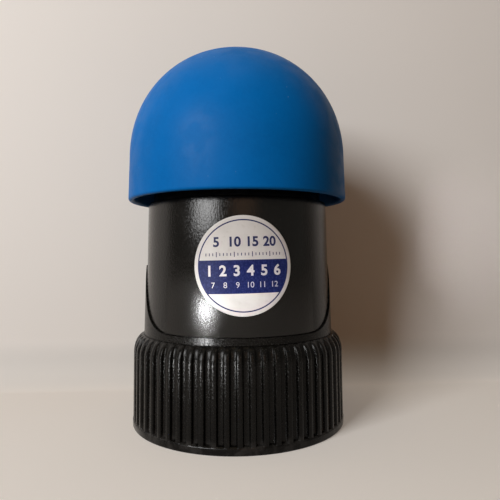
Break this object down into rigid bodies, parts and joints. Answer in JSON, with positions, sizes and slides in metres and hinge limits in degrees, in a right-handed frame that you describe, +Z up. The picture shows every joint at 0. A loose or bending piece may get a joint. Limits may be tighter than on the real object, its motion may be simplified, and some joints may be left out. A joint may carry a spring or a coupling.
{
  "type": "air release valve",
  "caption": "Air release valve for a two-inch water line: ribbed black base, glossy black barrel with a float and rolling seal inside, and a blue dome cap",
  "frame": {"origin": "middle of the face that the valve stands on", "axes": "+Z up along the valve's axis, -Y out through the label, +X to the right of the label"},
  "size_m": [0.0914, 0.0914, 0.1551],
  "materials": {
    "black_nylon": "satin moulded black, slightly dusty",
    "glossy_black_nylon": "semi-gloss moulded black with fine upright scratches",
    "blue_polypropylene": "satin blue with fine dust specks",
    "white_foamed_polypropylene": "matte, slightly grainy",
    "grey_nylon": "satin moulded grey",
    "black_rubber": "matte moulded rubber",
    "white_label": "satin printed film",
    "stainless_steel": "bright cold-headed steel"
  },
  "bodies": {
    "housing": {"ribbed_base": "black_nylon", "float_rest": "black_nylon", "barrel": "glossy_black_nylon", "body_o_ring": "black_rubber", "front_label": "white_label", "dome_cap": "blue_polypropylene"},
    "plug": {"plug_disc": "grey_nylon", "plug_seal": "black_rubber", "seal_retainer": "grey_nylon", "rolling_seal": "black_rubber", "bar_clamp": "grey_nylon", "retainer_screw_1": "stainless_steel", "retainer_screw_2": "stainless_steel", "retainer_screw_3": "stainless_steel", "bar_clamp_screw_1": "stainless_steel", "bar_clamp_screw_2": "stainless_steel"},
    "float": {"float": "white_foamed_polypropylene", "clamping_stem": "grey_nylon", "stem_clamp": "grey_nylon", "stem_clamp_screw_1": "stainless_steel", "stem_clamp_screw_2": "stainless_steel"}
  },
  "joints": [
    {"name": "plug_travel", "type": "slide", "parent": "housing", "child": "plug", "axis": [0, 0, 1], "range_m": [0, 0.018]},
    {"name": "float_travel", "type": "slide", "parent": "plug", "child": "float", "axis": [0, 0, 1], "range_m": [0, 0.006], "deforming": ["rolling_seal"]}
  ]
}
